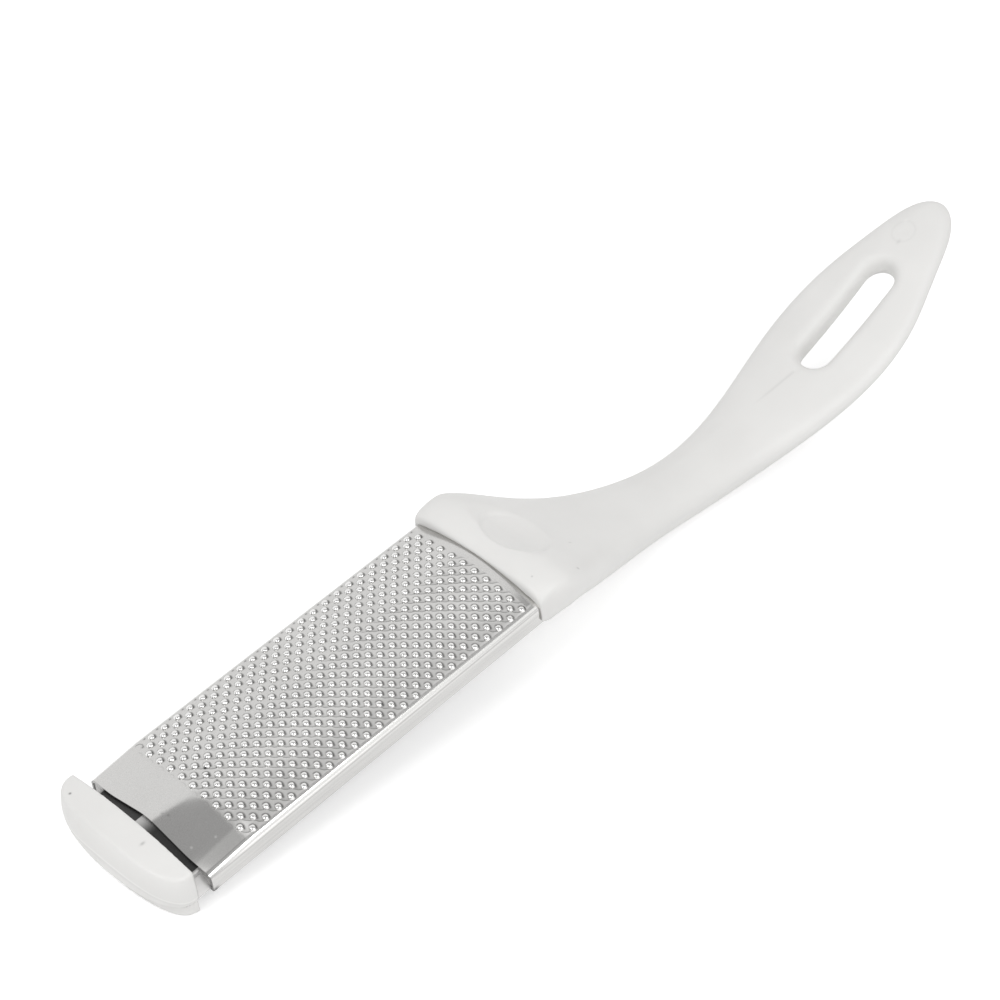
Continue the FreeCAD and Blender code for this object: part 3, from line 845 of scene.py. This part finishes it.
def shapeCollar(mesh):
    # lower shoulders, higher lower corners and a crisper thumb dimple than the solid has
    back = headToMetres.inverted()
    for vert in mesh.vertices:
        at = back @ vert.co
        if at.x > collar["end"]:
            continue
        before = at.copy()
        over = abs(at.y) - collar["sideFrom"]
        if over > 0 and at.x < collar["shoulderEnd"]:
            narrow = collar["sideIn"] * min(1.0, over / collar["sideSpan"])
            at.y -= math.copysign(narrow * leftOver(at.x, collar["shoulderEnd"]), at.y)
        edge = min(1.0, (abs(at.y) - collar["liftFrom"]) / collar["liftSpan"])
        if edge > 0 and at.z < collar["liftLow"] and at.x < collar["liftEnd"]:
            low = min(1.0, (collar["liftLow"] - at.z) / collar["liftDepth"])
            at.z += collar["lift"] * edge * low * leftOver(at.x, collar["liftEnd"])
        if at.z >= collar["shoulderLow"]:
            side = abs(at.y) - collar["shoulderFrom"]
            drop = dimpleDepth(*at)
            if side > 0 and at.x < collar["shoulderEnd"]:
                share = (side / collar["shoulderSpan"]) ** 2
                drop += collar["shoulderDrop"] * share * leftOver(at.x, collar["shoulderEnd"])
            at.z -= drop
        if at != before:
            vert.co = headToMetres @ at
    mesh.update()


def makeMoulded(node, name, voxel, smoothing):
    # a smooth skin over the solid, with the soft edges that moulding leaves
    obj = newMesh(name, [], [])
    bm = bmesh.new()
    bm.from_mesh(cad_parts[node].data)
    bmesh.ops.remove_doubles(bm, verts=bm.verts, dist=1e-7)
    if node == "handle":
        addPlug(bm)
    bm.to_mesh(obj.data)
    bm.free()
    skin = obj.modifiers.new("skin", "REMESH")
    skin.mode = "VOXEL"
    skin.voxel_size = voxel
    soft = obj.modifiers.new("soft", "SMOOTH")
    soft.factor = 0.5
    soft.iterations = smoothing
    bpy.context.view_layer.update()
    graph = bpy.context.evaluated_depsgraph_get()
    baked = bpy.data.meshes.new_from_object(obj.evaluated_get(graph))
    obj.modifiers.clear()
    obj.data = baked
    if node == "handle":
        shapeCollar(obj.data)
    setSmooth(obj)
    obj.data.materials.clear()
    obj.data.materials.append(plasticMat)
    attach(obj, "root")
    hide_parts(node)
    print(name, len(obj.data.polygons), "faces")


for node, plan in moulded.items():
    makeMoulded(node, **plan)

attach(sheetObj, "root")
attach(nubObj, "root")
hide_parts("rasp_sheet")

# Floor, light and camera
studio = {
    "floorColour": 0.80, "floorGlow": 0.44, "floorHalf": 3.0, "floorDrop": 0.0002, "ambient": 0.69,
    "dimAxis": (-0.553, -0.527, 0.646), "dimStart": 0.325, "dimFull": 0.358, "dimTone": 0.46,
    "rightEdge": -0.57, "rightFade": 0.06, "horizonFade": 0.1,
    "aim": (0, 0, 0.02), "lampDistance": 1.1,
}
lamps = {  # azimuth, elevation, size in metres, watts
    "leftBox": (181, 50, (0.46, 0.46), 2.6),
    "rightBox": (267, 50, (0.46, 0.46), 2.6),
    "fillBox": (224, 14, (0.9, 0.5), 0.7),
}
photo = {
    "lens": 99.956, "sensor": 36.0, "place": (
        (0.703008, 0.447065, -0.553093, -0.37210),
        (-0.710824, 0.466374, -0.526522, -0.33316),
        (0.022559, 0.763301, 0.645649, 0.44713),
        (0, 0, 0, 1)),
}


def seenRay(tree):
    # 1 for rays from the camera, from metal and through clear things
    paths = tree.nodes.new("ShaderNodeLightPath")
    bent = mathNode(tree, "MAXIMUM", paths.outputs["Is Glossy Ray"], paths.outputs["Is Transmission Ray"])
    return mathNode(tree, "MAXIMUM", paths.outputs["Is Camera Ray"], bent), paths.outputs["Is Glossy Ray"]


def makeWhite(name):
    # part of the white comes from the floor's own tone as the camera sees it, so the shadow stays light
    mat, tree, bsdf = newMaterial(name)
    bsdf.inputs["Base Color"].default_value = (*[studio["floorColour"]] * 3, 1)
    bsdf.inputs["Roughness"].default_value = 0.9
    bsdf.inputs["Specular IOR Level"].default_value = 0.0
    bsdf.inputs["Emission Color"].default_value = (1, 1, 1, 1)
    seen = seenRay(tree)[0]
    tree.links.new(product(tree, seen, studio["floorGlow"]), bsdf.inputs["Emission Strength"])
    return mat


far, drop = studio["floorHalf"], studio["floorDrop"]
floorVerts = [(-far, -far, -drop), (far, -far, -drop), (far, far, -drop), (-far, far, -drop)]
floor = newMesh("floor", floorVerts, [(0, 1, 2, 3)])
floor.data.materials.append(makeWhite("floorWhite"))

world = bpy.data.worlds.new("studioWorld")
bpy.context.scene.world = world
world.use_nodes = True


def makeSky(tree):
    # lights the tool evenly; the camera sees white, and the metal too but for a dimmer zone round the camera
    nodes, links = tree.nodes, tree.links
    soft = nodes["Background"]
    soft.inputs["Color"].default_value = (1, 1, 1, 1)
    soft.inputs["Strength"].default_value = studio["ambient"]
    seen = nodes.new("ShaderNodeBackground")
    coords = nodes.new("ShaderNodeTexCoord")
    split = nodes.new("ShaderNodeSeparateXYZ")
    links.new(coords.outputs["Generated"], split.inputs[0])
    parts = [product(tree, split.outputs[i], studio["dimAxis"][i]) for i in range(3)]
    towards = mathNode(tree, "ADD", mathNode(tree, "ADD", parts[0], parts[1]), parts[2])
    edge, fade = studio["rightEdge"], studio["rightFade"]
    dim = product(
        tree, stepNode(tree, towards, studio["dimStart"], studio["dimFull"]),
        stepNode(tree, split.outputs[1], edge - fade, edge + fade),
        stepNode(tree, split.outputs[2], 0.0, studio["horizonFade"]))
    clear, glossy = seenRay(tree)
    tone = mixColour(tree, product(tree, dim, glossy), (1, 1, 1, 1), (*[studio["dimTone"]] * 3, 1))
    links.new(tone, seen.inputs["Color"])
    pick = nodes.new("ShaderNodeMixShader")
    links.new(clear, pick.inputs[0])
    links.new(soft.outputs[0], pick.inputs[1])
    links.new(seen.outputs[0], pick.inputs[2])
    links.new(pick.outputs[0], nodes["World Output"].inputs["Surface"])


makeSky(world.node_tree)


def softLight(name, azimuth, elevation, size, watts):
    a, e = math.radians(azimuth), math.radians(elevation)
    out = studio["lampDistance"]
    data = bpy.data.lights.new(name, "AREA")
    data.shape = "RECTANGLE"
    data.size, data.size_y = size
    data.energy = watts
    lamp = bpy.data.objects.new(name, data)
    lamp.location = (out * math.cos(e) * math.cos(a), out * math.cos(e) * math.sin(a), out * math.sin(e))
    lamp.rotation_euler = (Vector(studio["aim"]) - lamp.location).to_track_quat("-Z", "Y").to_euler()
    bpy.context.scene.collection.objects.link(lamp)
    return lamp


lights = {name: softLight(name, *plan) for name, plan in lamps.items()}
lights["fillBox"].visible_glossy = False  # the metal doesn't mirror it

camData = bpy.data.cameras.new("photoCamera")
camData.lens = photo["lens"]
camData.sensor_width = photo["sensor"]
camera = bpy.data.objects.new("photoCamera", camData)
bpy.context.scene.collection.objects.link(camera)
camera.matrix_world = Matrix(photo["place"])
bpy.context.scene.camera = camera
bpy.context.scene.view_settings.view_transform = "Standard"
print("stage and camera ready")
